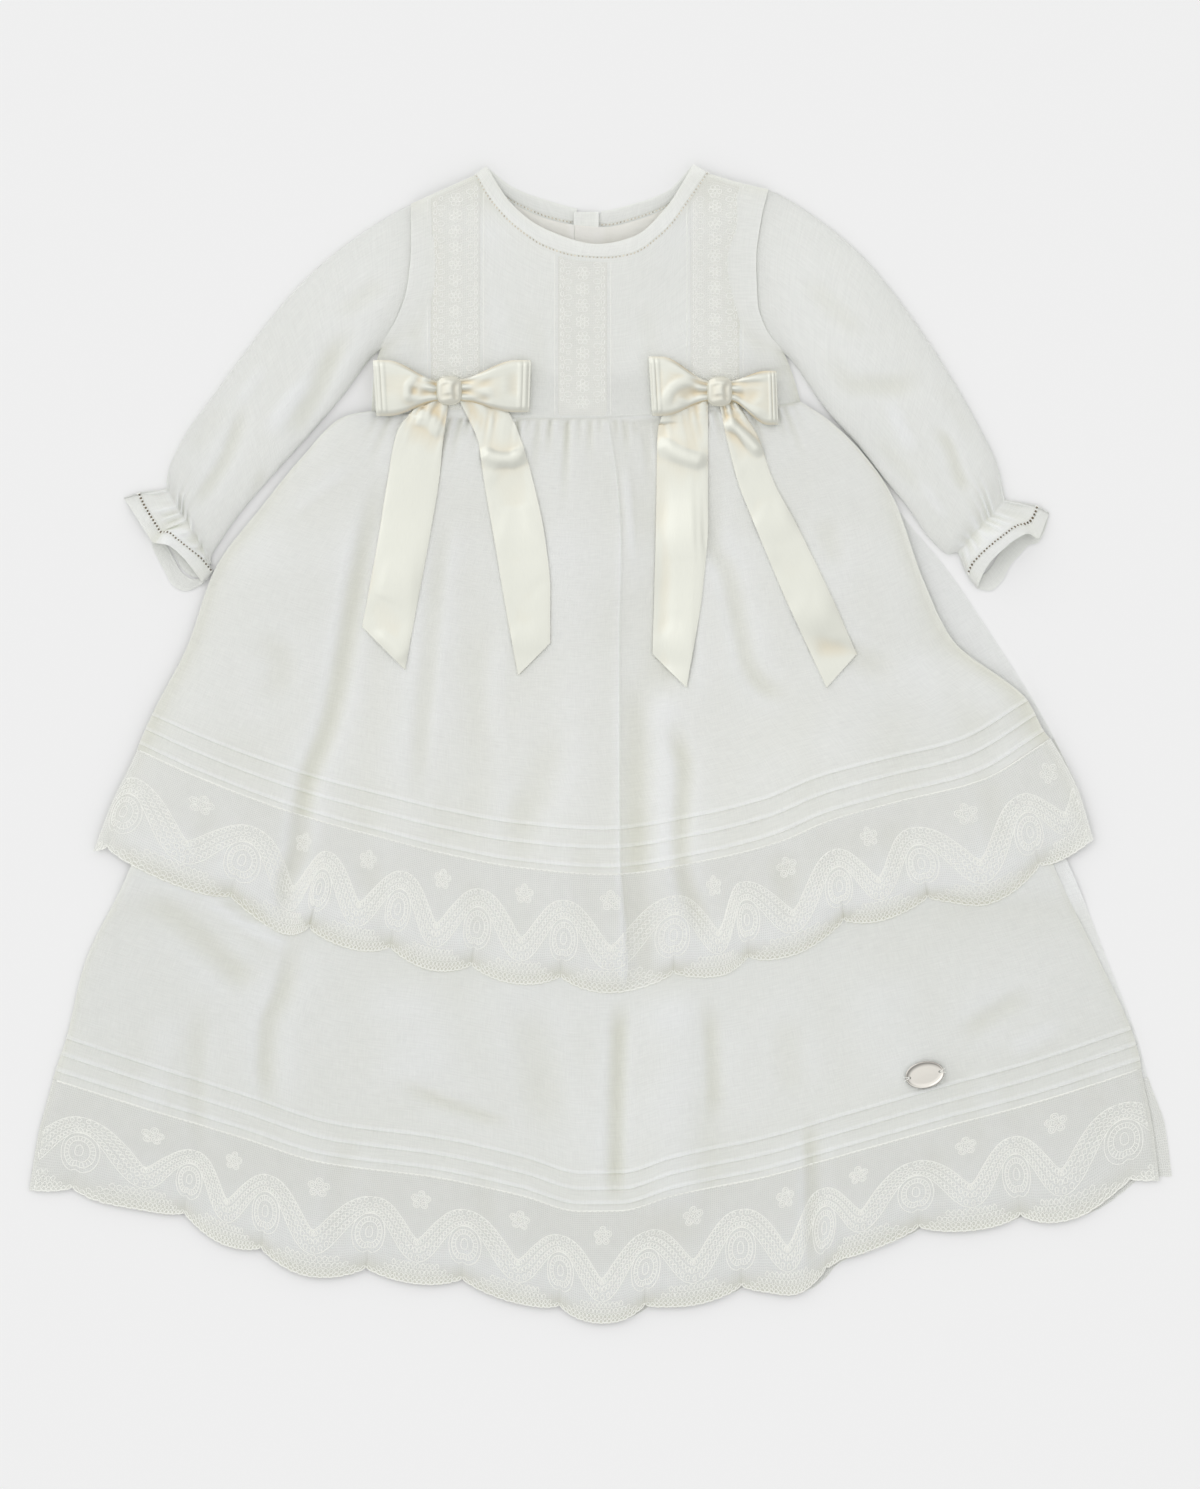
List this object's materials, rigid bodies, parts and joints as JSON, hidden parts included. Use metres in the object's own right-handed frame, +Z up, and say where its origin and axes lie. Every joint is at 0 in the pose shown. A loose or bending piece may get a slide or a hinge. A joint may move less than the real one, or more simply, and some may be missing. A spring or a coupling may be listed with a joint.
{
  "type": "christening gown",
  "caption": "Long-sleeved christening gown laid flat, with lace strips in its bodice, satin bows at the waist and a tucked skirt in two lace-edged tiers.",
  "frame": {"origin": "on the surface that the gown lies on, under the middle of its outline", "axes": "+X across the gown to the right as its front is seen from above, +Y from the hem to the neck, +Z up out of its front"},
  "size_m": [0.6399, 0.648, 0.0198],
  "materials": {
    "voile": "fine plain-weave cotton voile, matt and a little sheer",
    "lace": "embroidered cotton tulle, matt raised thread",
    "satin": "ivory satin ribbon, soft gloss",
    "lining": "cream batiste, matt",
    "plate": "polished nickel, bare",
    "button": "small pearly shirt buttons"
  },
  "bodies": {
    "root": {"bodice_back_left": "voile", "bodice_back_right": "voile", "bodice_front": "voile", "bow_left_knot": "satin", "bow_left_loop_inner": "satin", "bow_left_loop_outer": "satin", "bow_left_tail_inner": "satin", "bow_left_tail_outer": "satin", "bow_right_knot": "satin", "bow_right_loop_inner": "satin", "bow_right_loop_outer": "satin", "bow_right_tail_inner": "satin", "bow_right_tail_outer": "satin", "button_1": "button", "button_2": "button", "button_3": "button", "button_4": "button", "button_stand": "voile", "cuff_binding_left": "voile", "cuff_binding_right": "voile", "cuff_frill_left": "voile", "cuff_frill_right": "voile", "hem_plate": "plate", "lace_strip_centre": "lace", "lace_strip_left": "lace", "lace_strip_right": "lace", "lining_back_left": "lining", "lining_back_right": "lining", "neck_binding_back_left": "voile", "neck_binding_back_right": "voile", "neck_binding_front": "voile", "overskirt_back": "voile", "overskirt_front": "voile", "overskirt_lace_back": "lace", "overskirt_lace_front": "lace", "sleeve_left": "voile", "sleeve_right": "voile", "underskirt_back": "voile", "underskirt_front": "voile", "underskirt_lace_back": "lace", "underskirt_lace_front": "lace"}
  },
  "joints": []
}
